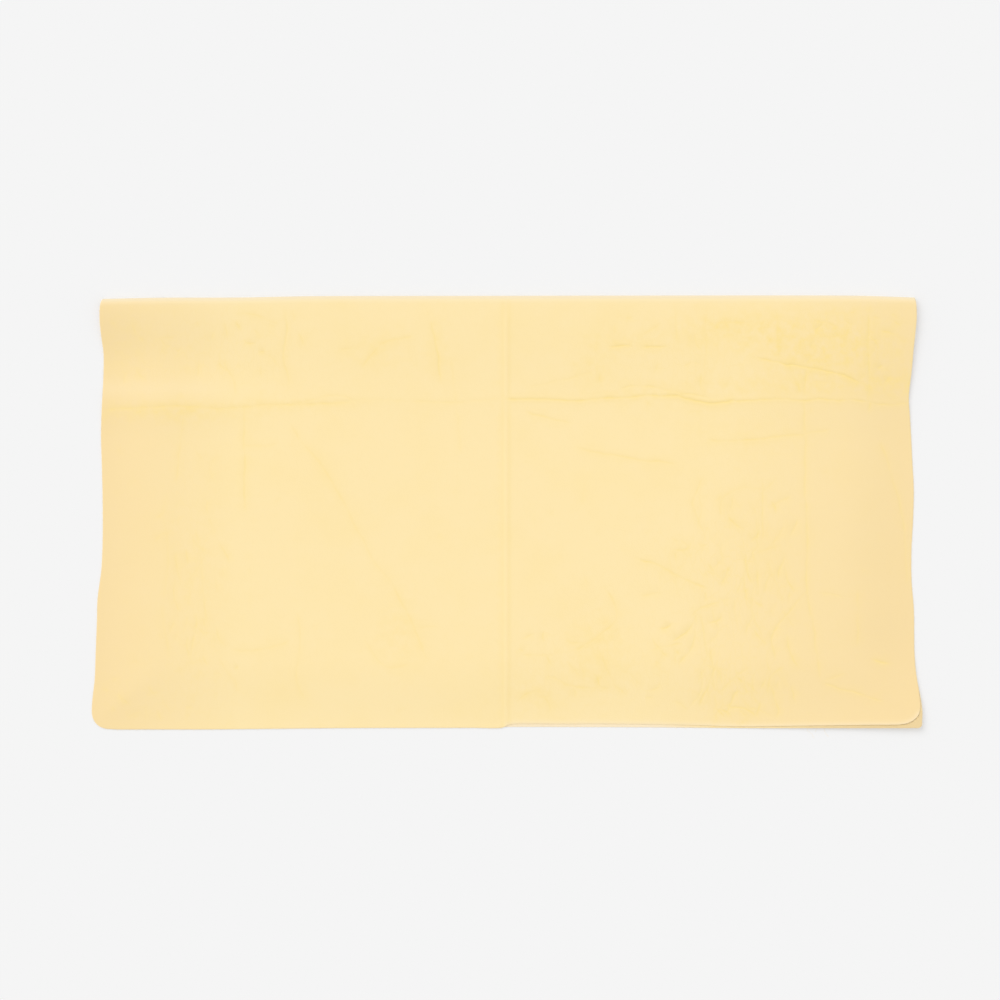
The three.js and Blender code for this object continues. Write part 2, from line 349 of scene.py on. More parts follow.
def crinkles():
    """Short bent creases strewn over each field, in the same form as the list of creases."""
    draw = np.random.default_rng(CRINKLE_SEED)
    found = []
    for middle, reach, number, heading, spread, length, strength, _ in CRINKLE_FIELDS:
        for _ in range(number):
            at = np.array(middle) + np.array(reach) * draw.uniform(-1, 1, 2)
            turn = heading + spread * draw.uniform(-1, 1)
            stride = length * draw.uniform(*CRINKLE_LENGTHS) / CRINKLE_BENDS
            points = [at]
            for _ in range(CRINKLE_BENDS):
                turn += CRINKLE_TURN * draw.normal()
                step = (math.cos(math.radians(turn)), math.sin(math.radians(turn)))
                points.append(points[-1] + stride * np.array(step))
            share = CRINKLE_SHARE * strength * draw.uniform(*CRINKLE_STRENGTHS)
            found.append((share, CRINKLE_HALF_WIDTH, *np.ravel(points)))
    return found


def around(points, middle, reach):
    """1 at a place of the photograph, falling softly to 0 beyond its reach."""
    away = (points - placed([middle])[0]) / (np.array(reach) * px_mm)
    return np.exp(-(away ** 2).sum(1))


def handled(points):
    """How much the sheet is crinkled, and how much it is gripped golden, at each point: 0 to 1."""
    crinkled = sum(most * around(points, middle, reach) for middle, reach, *_, most in CRINKLE_FIELDS)
    golden = sum(most * around(points, middle, reach) for most, middle, reach in GOLDEN_PLACES)
    return {"crinkled": np.clip(crinkled, 0, 1), "golden": np.clip(golden, 0, 1)}


CREASE_STEP = 0.9
WANDERS = [(7.0, 0.35), (2.4, 0.16)]
BREAKS_EVERY = 4.5
BREAK_SHARE = 0.3
BREAK_LIMITS = (0.1, 1.5)
CREASE_END_FADE = 5


def worn_creases(creases, draw):
    """Each crease as half width, line and strength along the line. As in much used leather, a line
    wanders a little to its sides, comes and goes, and fades at its ends."""
    found = []
    for strength, half_width, *numbers in creases:
        line = smooth_line(placed(np.reshape(numbers, (-1, 2))), CREASE_STEP)
        along = distances(line)
        aside = np.zeros(len(line))
        for knots, reach in WANDERS:
            at = np.arange(0, along[-1] + 2 * knots, knots)
            aside += np.interp(along, at, reach * draw.normal(size=len(at)))
        at = np.arange(0, along[-1] + 2 * BREAKS_EVERY, BREAKS_EVERY)
        comes = 1 + BREAK_SHARE * np.interp(along, at, draw.normal(size=len(at)))
        fade = np.minimum(along, along[-1] - along) / min(CREASE_END_FADE, along[-1] / 3)
        shares = strength * np.clip(comes, *BREAK_LIMITS) * np.clip(fade, 0, 1)
        found.append((half_width, line + aside[:, None] * left_normals(line), shares))
    return found


WEAR_SEED = 5
wear = np.random.default_rng(WEAR_SEED)
long_creases = worn_creases(CREASES, wear)
short_creases = worn_creases(crinkles(), wear)


def from_line(points, line):
    """How far each point is from a line, and how far along the line its nearest place is."""
    nearest = np.full(len(points), np.inf)
    along = np.zeros(len(points))
    passed = 0
    for start, end in zip(line[:-1], line[1:]):
        stretch = end - start
        length = np.linalg.norm(stretch)
        share = np.clip((points - start) @ stretch / length ** 2, 0, 1)
        gap = np.linalg.norm(points - start - share[:, None] * stretch, axis=1)
        nearer = gap < nearest
        nearest[nearer] = gap[nearer]
        along[nearer] = passed + share[nearer] * length
        passed += length
    return nearest, along


# A crease is a shallow groove with a low swelling on both sides. Along a thin line, with a fainter
# halo, it is toned golden, partly because its nap lies flat and partly as painted shade in the groove.
CREASE_DEPTH = 0.115
SWELLING_SHARE = 0.35
SWELLING_FROM = 1.5
TONE_LINE = 0.6
TONE_HALO = 2.3
HALO_SHARE = 0.45
CREASE_REACH = 4.6


def creased(points):
    """The height that all creases give each point, and their tone: flat nap and painted shade."""
    height, tone = np.zeros(len(points)), np.zeros(len(points))
    for half_width, line, shares in long_creases + short_creases:
        low, high = line.min(0) - CREASE_REACH, line.max(0) + CREASE_REACH
        near = np.nonzero(((points > low) & (points < high)).all(1))[0]
        if not len(near):
            continue
        gap, along = from_line(points[near], line)
        strength = np.interp(along, distances(line), shares)
        across = gap / half_width
        swelling = SWELLING_SHARE * bell(across - SWELLING_FROM, 1) * (across > 0)
        height[near] += CREASE_DEPTH * strength * (swelling - fading(across, 1))
        crease_nap_and_shade = np.maximum(bell(across, TONE_LINE), HALO_SHARE * bell(gap, TONE_HALO))
        tone[near] = np.maximum(tone[near], strength * crease_nap_and_shade)
    return height, np.clip(tone, 0, 1)


# The pack crease stands up as a broad ridge on the left, its back paler, and the centre
# crease as a sharp one
PACK_CREASE_PX = 402
PACK_RIDGE_HEIGHT = 0.75
PACK_RIDGE_LEFT_OVER = 0.1
PACK_RIDGE_BACK = 18
PACK_RIDGE_FRONT = 24
PACK_RIDGE_FADES_PX = (150, 330)
PACK_PALE = 0.2
PACK_PALE_AT = 9
PACK_PALE_REACH = 6
CENTRE_CREASE_PX = 506
CENTRE_RIDGE_HEIGHT = 0.24
CENTRE_RIDGE_LEFT = 2.2
CENTRE_RIDGE_RIGHT = 4.2
CENTRE_TONE = 0.3
CENTRE_FOOT_WIDTH = 1.4
DEEPEST_VALLEY = -0.2
centre_x, pack_y = placed([(CENTRE_CREASE_PX, PACK_CREASE_PX)])[0]


def ridges(points):
    """The two ridges' height, their foot's tone, partly painted shade, and how pale their backs are."""
    x, y = points.T
    left_share = 1 - smooth_step(x, *x_at(PACK_RIDGE_FADES_PX))
    behind = smooth_step(PACK_RIDGE_BACK - (y - pack_y), 0, PACK_RIDGE_BACK)
    before = 1 - smooth_step(pack_y - y, 0, PACK_RIDGE_FRONT)
    pack_height = PACK_RIDGE_LEFT_OVER + (PACK_RIDGE_HEIGHT - PACK_RIDGE_LEFT_OVER) * left_share
    pack = pack_height * np.where(y > pack_y, behind, before)
    pack_pale = bell(y - pack_y - PACK_PALE_AT, PACK_PALE_REACH)
    left = fading(centre_x - x, CENTRE_RIDGE_LEFT)
    right = fading(x - centre_x, CENTRE_RIDGE_RIGHT)
    centre = CENTRE_RIDGE_HEIGHT * np.where(x < centre_x, left, right)
    tone = sum(
        CENTRE_TONE * bell(x - centre_x - foot, CENTRE_FOOT_WIDTH)
        for foot in (-CENTRE_RIDGE_LEFT, CENTRE_RIDGE_RIGHT / 2)
    )
    return np.maximum(pack, centre), tone, PACK_PALE * left_share * pack_pale


# Soft waves that no crease bounds, as height, middle and reach in pixels of the photograph
SWELLS = [
    (0.35, (300, 470), (70, 60)), (0.30, (640, 520), (60, 90)), (0.30, (870, 470), (30, 80)),
    (0.25, (200, 640), (40, 60)), (0.15, (760, 680), (60, 35)), (0.25, (520, 620), (50, 40)),
    (0.30, (420, 690), (90, 25)), (0.25, (860, 620), (40, 30)), (0.20, (140, 470), (25, 60)),
]


def swells(points):
    """The height of the sheet's soft waves."""
    return sum(tall * around(points, middle, reach) for tall, middle, reach in SWELLS)


# The front right corner of both leaves curls up off the table, the upper one a little further
CORNER_PX = (921, 727)
UPPER_LIFT = 4.2
UNDER_LIFT = 3.7
LIFT_ALONG = 170
LIFT_ACROSS = 66
LIFT_MOST = 1.02
corner = placed([CORNER_PX])[0]


def lifted(points):
    """How far up the front right corner draws each point, from 0 to 1."""
    along = np.clip(1 - (corner[0] - points[:, 0]) / LIFT_ALONG, 0, LIFT_MOST)
    across = np.clip(1 - (points[:, 1] - corner[1]) / LIFT_ACROSS, 0, LIFT_MOST)
    return along ** 2 * across ** 2


# The front edge turns up in a thin lip on the right, and is paler there
LIP_HEIGHT = 0.12
LIP_WIDTH = 2.2
LIP_RISES_PX = (660, 760)
LIP_PALE = 0.6
LIP_PALE_WIDTH = 4
front_right = placed(FRONT_EDGE_PX)
front_lip = smooth_line(front_right[front_right[:, 0] > centre_x], EDGE_STEP)

# Along the fold the sheet is paler from rubbing; on the roll's back a duller colour is painted shade
FOLD_PALE = 0.22
FOLD_PALE_FADES = (3.0, 6.2)
FOLD_SHADE_FADES = (0.7, 3.7)


def rubbed_fold(from_fold):
    """How pale, and how much painted shade, the sheet has at a distance across from the line of the fold.
    """
    pale = FOLD_PALE * (1 - smooth_step(from_fold, *FOLD_PALE_FADES))
    return pale, 1 - smooth_step(from_fold, *FOLD_SHADE_FADES)


CREASES_START = (3, 14)


def straight_up(points):
    return np.tile([0.0, 0.0, 1.0], (len(points), 1))


def upper_shape(points):
    """The upper leaf over its plan: its middle surface, which way is up, its thickness, the distance
    along the sheet from the crest of the fold, and its tones by name."""
    x, y = points.T
    full = fullness(points, upper_edge)
    flat_middle = UPPER_EDGE_MIDDLE + (UPPER_MIDDLE - UPPER_EDGE_MIDDLE) * full
    from_crest = crest_y(x) - y
    settles_px, settles_over = np.array(SETTLES).T
    settled = smooth_step(from_crest / np.interp(x, x_at(settles_px), settles_over), 0, 1)
    ridge, ridge_tone, pack_pale = ridges(points)
    crease, crease_tone = creased(points)
    relief = np.maximum(ridge + crease + swells(points), DEEPEST_VALLEY * full)
    relief = relief * smooth_step(from_crest, *CREASES_START)
    from_lip = from_edge(points, front_lip)
    lip = LIP_HEIGHT * fading(from_lip, LIP_WIDTH)
    z = crest_middle(x) + (flat_middle - crest_middle(x)) * settled
    z = z + relief + UPPER_LIFT * lifted(points) + lip * smooth_step(x, *x_at(LIP_RISES_PX))
    fold_pale, fold_shade = rubbed_fold(from_crest + ROLL_RADIUS)
    tones = {
        "crease": np.maximum(ridge_tone, crease_tone),
        "pale": np.maximum.reduce([pack_pale, LIP_PALE * fading(from_lip, LIP_PALE_WIDTH), fold_pale]),
        "fold_shade": fold_shade,
        **handled(points),
    }
    return np.column_stack([points, z]), straight_up(points), thickness_of(full), -from_crest, tones


RIM_BULGE = 0.15
RIM_TURNS = (60, 20, -20, -60)


def thinned(groups):
    """All groups' points in order, without those that lie too near an earlier one."""
    kept = []
    for points, gap in groups:
        cells = {}
        for p in kept:
            cells.setdefault((math.floor(p[0] / gap), math.floor(p[1] / gap)), []).append(p)
        for p in points.tolist():
            column, row = math.floor(p[0] / gap), math.floor(p[1] / gap)
            near = [
                q
                for c in (column - 1, column, column + 1)
                for r in (row - 1, row, row + 1)
                for q in cells.get((c, r), ())
            ]
            if all((p[0] - q[0]) ** 2 + (p[1] - q[1]) ** 2 >= gap * gap for q in near):
                kept.append(p)
                cells.setdefault((column, row), []).append(p)
    return np.array(kept)


def new_piece(name, data):
    """An object of the scene with this mesh, curve, light or camera."""
    piece = bpy.data.objects.new(name, data)
    bpy.context.scene.collection.objects.link(piece)
    return piece


def give(mesh, label, values):
    """Gives each point of a mesh its number, or its row of three, under this name."""
    values = np.array(values, float)
    kind, key = ("FLOAT", "value") if values.ndim == 1 else ("FLOAT_VECTOR", "vector")
    mesh.attributes.new(label, kind, "POINT").data.foreach_set(key, values.ravel())


INSIDE_ONLY = 1
SAME_PLACE = 1e-6


def triangulated(outline, inner):
    """The points of a plan, its outline first, and the triangles that fill it."""
    plan = np.concatenate([outline, inner])
    border = list(range(len(outline)))
    found = delaunay_2d_cdt(plan.tolist(), [], [border], INSIDE_ONLY, SAME_PLACE)
    triangles, origins = found[2:4]
    triangles = np.array([[origins[i][0] for i in t] for t in triangles])
    used = np.unique(np.concatenate([border, triangles.ravel()]))
    return plan[used], np.searchsorted(used, triangles)


def side_faces(cut, levels, total):
    """The faces round a piece: over the levels of its rim where it is cut, else a straight cap."""
    faces = []
    for i, is_cut in enumerate(cut):
        after = (i + 1) % len(cut)
        if is_cut:
            here, there = levels[i], levels[after]
            for k in range(len(here) - 1):
                faces.append([here[k], here[k + 1], there[k + 1], there[k]])
        else:
            faces.append([i, i + total, after + total, after])
        if cut[i - 1] and not is_cut:
            faces.append(levels[i])
        if is_cut and not cut[i - 1]:
            faces.append(levels[i][::-1])
    return faces


rim_lines = {}


def sheet_mesh(name, outline, cut, inner, shape):
    """A closed piece of the sheet. Its plan is the outline, counterclockwise, with inner points, and
    shape gives its place in space. Cut edges get a round rim, and the others, where the sheet goes
    on in the next piece, a straight cap. The line of the rim is kept for its fibres."""
    plan, triangles = triangulated(outline, inner)
    middle, up, thickness, along, tones = shape(plan)
    count, total = len(outline), len(plan)
    half = up * thickness[:, None] / 2
    points = [middle + half, middle - half]

    # The round rim, with a row of points for each of its turns between the two faces
    cut = np.array(cut)
    before = np.roll(cut, 1)
    rim = np.nonzero(cut | before)[0]
    ahead = np.where(cut[rim], (rim + 1) % count, rim)
    behind = np.where(before[rim], (rim - 1) % count, rim)
    tangent = middle[ahead] - middle[behind]
    out = np.cross(tangent / np.linalg.norm(tangent, axis=1)[:, None], up[rim])
    levels = [rim]
    for k, turn in enumerate(RIM_TURNS):
        reach, rise = math.cos(math.radians(turn)), math.sin(math.radians(turn))
        points.append(middle[rim] + out * RIM_BULGE * reach + half[rim] * rise)
        levels.append(2 * total + k * len(rim) + np.arange(len(rim)))
    levels = np.column_stack([*levels, rim + total])
    faces = triangles.tolist() + (triangles[:, ::-1] + total).tolist()
    faces += side_faces(cut.tolist(), dict(zip(rim.tolist(), levels.tolist())), total)
    mesh = bpy.data.meshes.new(name)
    mesh.from_pydata((np.concatenate(points) * MM).tolist(), [], faces)
    mesh.polygons.foreach_set("use_smooth", np.ones(len(faces), bool))

    # What the material reads: the place on the flat sheet and the tones, with every cut edge pale
    rings = len(RIM_TURNS)
    source = np.concatenate([np.arange(total), np.arange(total), np.tile(rim, rings)])
    side = np.concatenate([np.ones(total), -np.ones(total), np.zeros(rings * len(rim))])
    place = np.column_stack([plan[source, 0], along[source], side * THICKNESS / 2]) * MM
    give(mesh, "sheet_place", place)
    for label, values in tones.items():
        values = values[source]
        if label == "pale":
            values = np.maximum(values, side == 0)
        give(mesh, label, values)

    # The straight caps have sharp borders, so that the sheet shades on evenly in the next piece
    seam = np.nonzero(~cut)[0].tolist()
    seam_edges = {frozenset((i + s, (i + 1) % count + s)) for i in seam for s in (0, total)}
    sharp = [frozenset(edge.vertices) in seam_edges for edge in mesh.edges]
    mesh.attributes.new("sharp_edge", "BOOLEAN", "EDGE").data.foreach_set("value", sharp)

    order = {int(i): j for j, i in enumerate(rim)}
    links = [(order[i], order[(i + 1) % count]) for i in order if cut[i]]
    rim_lines[name] = (middle[rim] * MM, out, place[rim], links)
    return new_piece(name, mesh)


def rows_beside(creases, offsets, step):
    """Points in rows along each crease, at these shares of its half width to both sides."""
    found = []
    for half_width, line, _ in creases:
        line = even_steps(line, step)
        normal = left_normals(line)
        found.extend(line + side * share * half_width * normal for share in offsets for side in (1, -1))
    return np.concatenate(found)


def lattice(low, high, step):
    """Points of an even triangular lattice over a box."""
    columns = np.arange(low[0], high[0], step)
    rows = np.arange(low[1], high[1], step * math.sqrt(3) / 2)
    x, y = np.meshgrid(columns, rows)
    x[1::2] += step / 2
    return np.stack([x.ravel(), y.ravel()], axis=1)


SEAM_STEP = 1.5
COLUMNS = round((cad_high.x - cad_low.x) / MM / SEAM_STEP)


def row_across(y_left, y_right):
    """Even places across the sheet, between its two sides at these places along it."""
    return np.linspace(left_x(y_left) + RIM_BULGE, right_x(y_right) - RIM_BULGE, COLUMNS + 1)


seam_x = row_across(crest_y(left_edge[0, 0]), crest_y(right_edge[-1, 0]))
crest_seam = np.stack([seam_x, crest_y(seam_x)], axis=1)

# On the pack crease the sheet turns over this much to both sides, in even rows of points
joints = {joint["name"]: joint for joint in frame["joints"]}
crease_m = joints["upper_crease"]["pos_m"][1]
UPPER_BEND = 2.5
BEND_ROW_STEP = 0.55
BEND_COLUMN_STEP = 1.3
BEND_GAP = 0.5
OUTLINE_GAP = 0.01
box_low, box_high = upper_edge.min(0), upper_edge.max(0)


def leaf(name, edge, seam, bend, groups, shape):
    """A leaf inside its cut edge and its seam. Its inner points are even rows alone where it turns,
    and elsewhere the groups, none nearer to an earlier point than the gap of its group."""
    edge = edge + RIM_BULGE * left_normals(edge)
    edge = edge[edge[:, 1] < np.interp(edge[:, 0], *seam.T) - EDGE_STEP / 2]
    outline = np.concatenate([edge, seam[::-1]])
    cut = [True] * len(edge) + [False] * (len(seam) - 1) + [True]
    reach = bend + BEND_ROW_STEP
    rows = crease_m / MM + np.arange(-reach, reach + BEND_ROW_STEP / 2, BEND_ROW_STEP)
    columns, rows = np.meshgrid(np.arange(box_low[0], box_high[0], BEND_COLUMN_STEP), rows)
    turning = np.column_stack([columns.ravel(), rows.ravel()])
    groups = [(points[abs(points[:, 1] - crease_m / MM) > reach], gap) for points, gap in groups]
    inner = thinned([(outline, OUTLINE_GAP), (turning, BEND_GAP), *groups])[len(outline):]
    inner = inner[inner[:, 1] < np.interp(inner[:, 0], *seam.T) - EDGE_STEP / 2]
    return sheet_mesh(name, outline, cut, inner, shape)


def rows_inside(line, inwards, depths):
    """Points in rows inside a line, at these depths."""
    return np.concatenate([line + depth * np.array(inwards) for depth in depths])


# The leaf's inner points lie close where its form changes. Each group has its gap beside it.
BASE_STEP = 4.4
CENTRE_STEP = 1.2
FORWARDS = (0, -1)
NEAR_SEAM = (1.5, 3, 4.5, 6.5, 9)
NEAR_EDGE = (1.3, 2.3, 3.6, 5.2)
centre_rows = lattice(
    (centre_x - CENTRE_RIDGE_LEFT, box_low[1]), (centre_x + CENTRE_RIDGE_RIGHT, box_high[1]), CENTRE_STEP)
upper_leaf = leaf("upper_sheet", upper_edge, crest_seam, UPPER_BEND, [
    (rows_beside(long_creases, (0, 0.45, 1, 1.9), 1.0), 0.42),
    (rows_inside(crest_seam, FORWARDS, NEAR_SEAM), 0.6),
    (rows_inside(upper_edge, left_normals(upper_edge), NEAR_EDGE), 0.7),
    (rows_beside(short_creases, (0, 0.9), 1.2), 0.6),
    (centre_rows, 0.9),
    (lattice(box_low, box_high, BASE_STEP), 1.9),
], upper_shape)


def hex_colour(code):
    """An sRGB colour in hex as linear red, green, blue and alpha."""
    parts = [int(code[i:i + 2], 16) / 255 for i in (0, 2, 4)]
    return [p / 12.92 if p <= 0.04045 else ((p + 0.055) / 1.055) ** 2.4 for p in parts] + [1]


def add_node(tree, kind, inputs=(), **settings):
    """Adds a node. Each input gets a value, a link, or a link to a node's first output."""
    node = tree.nodes.new(kind)
    for key, value in settings.items():
        setattr(node, key, value)
    for key, value in dict(inputs).items():
        value = value.outputs[0] if isinstance(value, bpy.types.Node) else value
        if isinstance(value, bpy.types.NodeSocket):
            tree.links.new(value, node.inputs[key])
        else:
            node.inputs[key].default_value = value
    return node


def calculate(tree, operation, *values):
    return add_node(tree, "ShaderNodeMath", dict(enumerate(values)), operation=operation)


# Chamois leather is the flesh split of a sheepskin, tanned with fish oil and buffed on both faces.
# To the eye it is a dead matt butter yellow, a little deeper towards both ends of the sheet, golden
# where it has been gripped, and golden in every crease, partly because the nap lies flat there and
# partly as painted shade. A duller colour on the back of the fold is painted shade, the upper leaf's
# shadow is painted tan on the bare front right of the under leaf, and the sheet is paler where a
# knife has cut it. The nap, about a third of a millimetre long, is drawn at twice that so that it shows.
BUTTER = "FFE8B1"
DEEPER_TONE = "F8DCA5"
GOLDEN = "FDE296"
PALE_TONE = "FDEBC8"
FOLD_SHADE = "EADAB7"
SHADOW_TAN = "EDD39F"
SHEEN_TINT = "FFF3D6"
NAP_MM = 0.7
MOTTLE_MM = 6
PATCH_MM = 45
NOISE_ROUGHNESS = 0.6
WRINKLE_MM = 6
WRINKLE_STRETCH = (1.6, 0.6, 1)
WRINKLE_BEND_MM = 4
WRINKLE_WIDTH = 0.06
BLOTCH_FROM = 0.34
BLOTCH_FULL = 0.72
LEFT_DEEPENS_MM = (-175, -285)
RIGHT_DEEPENS_MM = (165, 365)
DEEPENS_SLANT = -0.3
LEAST_CRINKLED = 0.15
LEAST_GOLDEN = 0.05
NAP_HEIGHT = 0.12
MOTTLE_HEIGHT = 0.10
WRINKLE_DEPTH = 0.04
BUMP_STRENGTH = 0.5
MATT = {"Roughness": 0.94, "Specular IOR Level": 0.2, "Sheen Weight": 0.12, "Sheen Roughness": 0.6}


def chamois_material():
    """Oil tanned, buffed sheepskin, with its patterns laid along the flat sheet."""
    material = bpy.data.materials.new("chamois_leather")
    material.use_nodes = True
    tree = material.node_tree
    tree.nodes.clear()
    place = add_node(tree, "ShaderNodeAttribute", attribute_name="sheet_place").outputs["Vector"]
    across, along, _ = add_node(tree, "ShaderNodeSeparateXYZ", {"Vector": place}).outputs
    slanted = calculate(tree, "MULTIPLY_ADD", along, DEEPENS_SLANT, across)
    tones = {}
    for name in ("crease", "pale", "fold_shade", "shadow", "crinkled", "golden"):
        tones[name] = add_node(tree, "ShaderNodeAttribute", attribute_name=name).outputs["Fac"]
    noises = {}
    for name, size, detail in (("nap", NAP_MM, 2), ("mottle", MOTTLE_MM, 4), ("patch", PATCH_MM, 3)):
        noises[name] = add_node(tree, "ShaderNodeTexNoise", {
            "Vector": place, "Scale": 1 / (size * MM), "Detail": detail, "Roughness": NOISE_ROUGHNESS})
    crinkled, golden = [
        add_node(tree, "ShaderNodeMapRange", {"Value": tones[name], "To Min": least})
        for name, least in (("crinkled", LEAST_CRINKLED), ("golden", LEAST_GOLDEN))
    ]

    # Fine wrinkles: the borders of cells that a noise has bent, stretched along the sheet
    bent = add_node(tree, "ShaderNodeVectorMath", {
        0: noises["mottle"].outputs["Color"], "Scale": WRINKLE_BEND_MM * MM}, operation="SCALE")
    bent = add_node(tree, "ShaderNodeVectorMath", {0: place, 1: bent}, operation="ADD")
    bent = add_node(tree, "ShaderNodeVectorMath", {0: bent, 1: WRINKLE_STRETCH}, operation="MULTIPLY")
    cells = add_node(tree, "ShaderNodeTexVoronoi", {
        "Vector": bent, "Scale": 1 / (WRINKLE_MM * MM)}, feature="DISTANCE_TO_EDGE")
    border = add_node(tree, "ShaderNodeMapRange", {
        "Value": cells.outputs["Distance"], "From Max": WRINKLE_WIDTH, "To Min": 1, "To Max": 0})
    wrinkle = calculate(tree, "MULTIPLY", border, crinkled)
    blotch = add_node(tree, "ShaderNodeMapRange", {
        "Value": noises["mottle"].outputs["Fac"], "From Min": BLOTCH_FROM, "From Max": BLOTCH_FULL})
    blotch = calculate(tree, "MULTIPLY", blotch, golden)

    # Each layer of colour: where it lies, from nothing to its most, how much and what colour
    layers = [
        (noises["patch"].outputs["Fac"], 0.45, 0.75, 0.2, GOLDEN),
        # Deeper towards both ends, and at the curled front right partly painted shade on its lit slope
        (across, LEFT_DEEPENS_MM[0] * MM, LEFT_DEEPENS_MM[1] * MM, 0.9, DEEPER_TONE),
        (slanted, RIGHT_DEEPENS_MM[0] * MM, RIGHT_DEEPENS_MM[1] * MM, 1.0, DEEPER_TONE),
        (blotch, 0, 1, 0.9, GOLDEN),
        (wrinkle, 0, 1, 0.4, GOLDEN),
        # Golden crease lines: partly flat nap, partly painted shade in the groove
        (tones["crease"], 0, 1, 0.8, GOLDEN),
        # Painted shade on the back of the fold, where the lamp lights the roll
        (tones["fold_shade"], 0, 1, 1.0, FOLD_SHADE),
        # The upper leaf's shadow, painted tan on the under leaf's bare front right
        (tones["shadow"], 0, 1, 1.0, SHADOW_TAN),
        # Paler cut edges, fold and strips; on the under leaf's front left partly painted light
        (tones["pale"], 0, 1, 1.0, PALE_TONE),
    ]
    colour = hex_colour(BUTTER)
    for where, least, most, share, code in layers:
        share = add_node(tree, "ShaderNodeMapRange", {
            "Value": where, "From Min": least, "From Max": most, "To Max": share})
        mixed = add_node(tree, "ShaderNodeMix", {
            "Factor": share, 6: colour, 7: hex_colour(code)}, data_type="RGBA")
        colour = mixed.outputs[2]

    skin = add_node(tree, "ShaderNodeBsdfPrincipled", {
        "Base Color": colour, "Sheen Tint": hex_colour(SHEEN_TINT), **MATT})
    heights = [
        (wrinkle, WRINKLE_DEPTH, True),
        (noises["mottle"].outputs["Fac"], MOTTLE_HEIGHT, False),
        (noises["nap"].outputs["Fac"], NAP_HEIGHT, False),
    ]
    normal = skin.inputs["Normal"]
    for height, tall, sunk in heights:
        bump = add_node(tree, "ShaderNodeBump", {
            "Height": height, "Strength": BUMP_STRENGTH, "Distance": tall * MM}, invert=sunk)
        tree.links.new(bump.outputs["Normal"], normal)
        normal = bump.inputs["Normal"]
    add_node(tree, "ShaderNodeOutputMaterial", {"Surface": skin})
    return material


chamois = chamois_material()
upper_leaf.data.materials.append(chamois)
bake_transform(upper_leaf)
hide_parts("upper_strip", "upper_leaf")

# The rolled fold
# The bend of the sheet, which the leather's own spring keeps from lying flat. It runs from a little
# in front of the fold, on the under leaf, round the back and up to the crest of the roll.

UNDER_SEAM_FROM_FOLD = 15
under_seam_y = cad_high.y / MM - UNDER_SEAM_FROM_FOLD
FLAT_ROWS = 8
FLAT_LENGTH = UNDER_SEAM_FROM_FOLD - ROLL_RADIUS
ROLL_TURNS = [*range(-90, 60, 6), *range(60, 84, 3), 84, 86, 87.5, 89, 90]
roll_depth = ROLL_RADIUS - THICKNESS / 2
ROLL_LENGTH = math.pi * math.hypot(roll_depth, (CREST_MIDDLE - CREST_PRESSED) / 2) / math.sqrt(2)


def roll_turn(along):
    """The angle round the roll, from straight down to straight up, of a place along the piece."""
    return math.pi * (np.clip((along - FLAT_LENGTH) / ROLL_LENGTH, 0, 1) - 0.5)


def roll_y(x, along):
    flat = under_seam_y + (crest_y(x) - under_seam_y) * np.clip(along / FLAT_LENGTH, 0, 1)
    return flat + roll_depth * np.cos(roll_turn(along))


def roll_shape(points):
    """The fold over its plan of x and the distance along the sheet from its first row."""
    x, along = points.T
    turn = roll_turn(along)
    plan = np.column_stack([x, roll_y(x, along)])
    thickness = thickness_of(fullness(plan, upper_edge))
    half_height = (crest_middle(x) - thickness / 2) / 2
    z = thickness / 2 + half_height * (1 + np.sin(turn))
    up = np.column_stack([np.zeros(len(x)), -half_height * np.cos(turn), -roll_depth * np.sin(turn)])
    up /= np.linalg.norm(up, axis=1)[:, None]
    at_crest = np.column_stack([x, crest_y(x)])
    pale, fold_shade = rubbed_fold(fold_y(x) - plan[:, 1])
    tones = {"crease": ridges(at_crest)[1], "pale": pale, "fold_shade": fold_shade, **handled(at_crest)}
    return np.column_stack([plan, z]), up, thickness, FLAT_LENGTH + ROLL_LENGTH - along, tones


roll_rows = [FLAT_LENGTH * row / FLAT_ROWS for row in range(FLAT_ROWS)]
roll_rows += [FLAT_LENGTH + ROLL_LENGTH * (turn / 180 + 0.5) for turn in ROLL_TURNS]
roll_points = []
for along in roll_rows:
    x = row_across(roll_y(left_edge[0, 0], along), roll_y(right_edge[-1, 0], along))
    roll_points.append(np.stack([x, np.full(len(x), along)], axis=1))
first, last = roll_points[0], roll_points[-1]
right_side = np.array([row[-1] for row in roll_points[1:-1]])
left_side = np.array([row[0] for row in roll_points[1:-1]])
roll_outline = np.concatenate([first, right_side, last[::-1], left_side[::-1]])
side_cut = [True] * (len(right_side) + 1)
roll_is_cut = [False] * (len(first) - 1) + side_cut + [False] * (len(last) - 1) + side_cut
roll_inner = np.concatenate([row[1:-1] for row in roll_points[1:-1]])
fold_roll = sheet_mesh("fold_roll", roll_outline, roll_is_cut, roll_inner, roll_shape)
fold_roll.data.materials.append(chamois)
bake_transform(fold_roll)
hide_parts("under_strip", "upper_strip")

# The under leaf
# The half of the sheet that lies on the table. It peeps out along the right of the front edge and at
# the front right corner, which is cut nearly square, and the upper leaf's creases print on it.

UNDER_FRONT_PX = [
    (94.4, 706), (95.6, 715), (98.6, 721.5), (104.5, 725.6), (114, 727.2), (200, 727.4),
    (350, 727.0), (506, 727.0), (620, 727.3), (700, 727.9), (760, 728.3), (860, 728.2),
    (912, 728.0), (919.2, 727.7), (921.3, 726.2), (922.0, 720), (922.3, 712), (921.0, 700),
    (919.0, 689), (916.6, 676),
]
UNDER_TUCK = 1.2
UNDER_RIGHT_TUCK = 0.5
PRINT_SHARE = 0.5
PRINTS_START = (2, 12)
UNDER_BASE_STEP = 3.9
UNDER_BEND = 3

